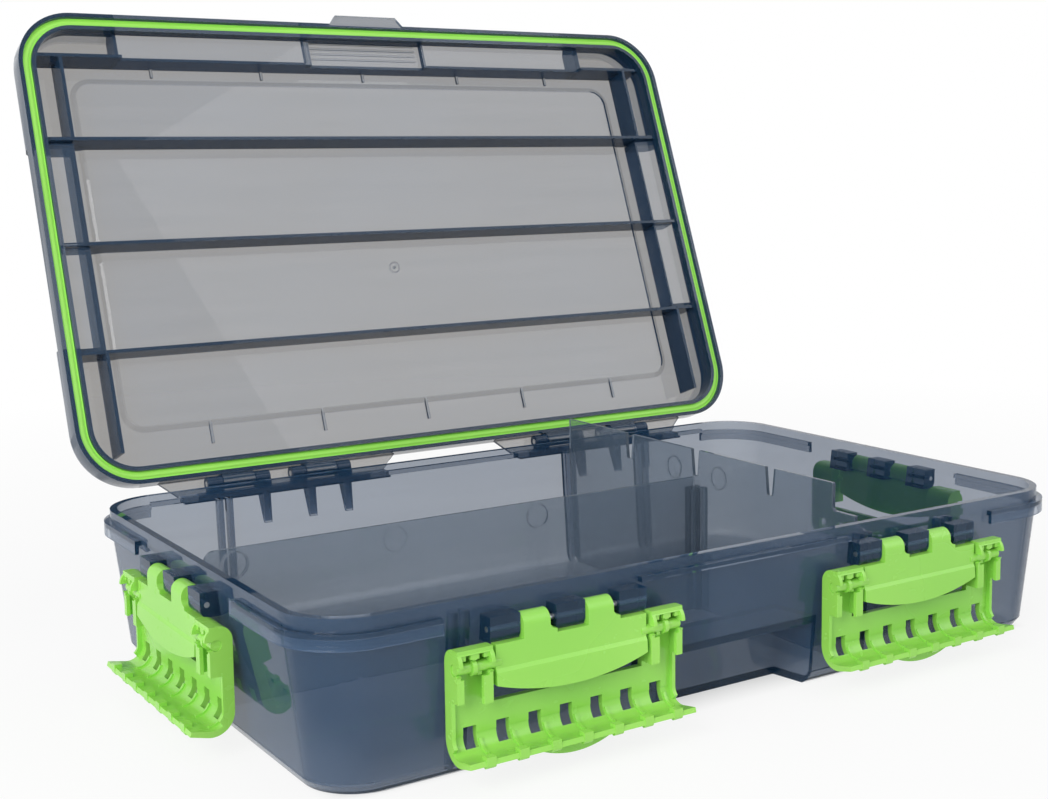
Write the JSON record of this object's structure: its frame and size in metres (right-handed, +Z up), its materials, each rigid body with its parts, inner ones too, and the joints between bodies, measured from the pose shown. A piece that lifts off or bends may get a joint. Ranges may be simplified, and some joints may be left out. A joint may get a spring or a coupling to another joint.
{
  "type": "tackle utility box",
  "caption": "Shallow clear utility box with a hinged sealed lid held open, removable dividers and bright toggle latches on its front and sides.",
  "frame": {"origin": "middle of the tray's flat underside, on the ground", "axes": "+X along the width to the right, +Y from the front latches to the hinged back, +Z up"},
  "size_m": [0.383, 0.3317, 0.2766],
  "materials": {
    "smoke": "clear smoke-blue plastic",
    "divider": "cloudy smoke-blue plastic",
    "lime": "satin lime",
    "seal": "satin lime rubber",
    "steel": "plain steel"
  },
  "bodies": {
    "tray": {"base": "smoke", "hinge_pin_left_outer": "steel", "hinge_pin_left_inner": "steel", "hinge_pin_right_inner": "steel", "hinge_pin_right_outer": "steel", "front_left_pin": "steel", "front_right_pin": "steel", "left_side_pin": "steel", "right_side_pin": "steel"},
    "lid_assembly": {"lid": "smoke", "lid_gasket": "seal"},
    "long_divider_body": {"long_divider": "divider"},
    "cross_divider_body": {"cross_divider": "divider"},
    "front_left_lever_body": {"front_left_lever": "lime"},
    "front_left_hook_body": {"front_left_hook": "lime"},
    "front_right_lever_body": {"front_right_lever": "lime"},
    "front_right_hook_body": {"front_right_hook": "lime"},
    "left_side_lever_body": {"left_side_lever": "lime"},
    "left_side_hook_body": {"left_side_hook": "lime"},
    "right_side_lever_body": {"right_side_lever": "lime"},
    "right_side_hook_body": {"right_side_hook": "lime"}
  },
  "joints": [
    {"name": "lid_hinge", "type": "hinge", "parent": "tray", "child": "lid_assembly", "pos_m": [0, 0.1139, 0.062], "axis": [-1, 0, 0], "range_deg": [-110.9, 0]},
    {"name": "front_left_lever_hinge", "type": "hinge", "parent": "tray", "child": "front_left_lever_body", "pos_m": [-0.0825, -0.1118, 0.0515], "axis": [-1, 0, 0], "range_deg": [0, 110]},
    {"name": "front_left_hook_pivot", "type": "hinge", "parent": "front_left_lever_body", "child": "front_left_hook_body", "pos_m": [-0.0825, -0.1142, 0.041], "axis": [1, 0, 0], "range_deg": [-180, 0]},
    {"name": "front_right_lever_hinge", "type": "hinge", "parent": "tray", "child": "front_right_lever_body", "pos_m": [0.0825, -0.1118, 0.0515], "axis": [-1, 0, 0], "range_deg": [0, 110]},
    {"name": "front_right_hook_pivot", "type": "hinge", "parent": "front_right_lever_body", "child": "front_right_hook_body", "pos_m": [0.0825, -0.1142, 0.041], "axis": [1, 0, 0], "range_deg": [-180, 0]},
    {"name": "left_side_lever_hinge", "type": "hinge", "parent": "tray", "child": "left_side_lever_body", "pos_m": [-0.1788, 0, 0.0515], "axis": [0, 1, 0], "range_deg": [0, 110]},
    {"name": "left_side_hook_pivot", "type": "hinge", "parent": "left_side_lever_body", "child": "left_side_hook_body", "pos_m": [-0.1812, 0, 0.041], "axis": [0, -1, 0], "range_deg": [-180, 0]},
    {"name": "right_side_lever_hinge", "type": "hinge", "parent": "tray", "child": "right_side_lever_body", "pos_m": [0.1788, 0, 0.0515], "axis": [0, -1, 0], "range_deg": [0, 110]},
    {"name": "right_side_hook_pivot", "type": "hinge", "parent": "right_side_lever_body", "child": "right_side_hook_body", "pos_m": [0.1812, 0, 0.041], "axis": [0, 1, 0], "range_deg": [-180, 0]},
    {"name": "long_divider_lift", "type": "slide", "parent": "tray", "child": "long_divider_body", "axis": [0, 0, 1], "range_m": [0, 0.065]},
    {"name": "cross_divider_lift", "type": "slide", "parent": "tray", "child": "cross_divider_body", "axis": [0, 0, 1], "range_m": [0, 0.08]}
  ]
}
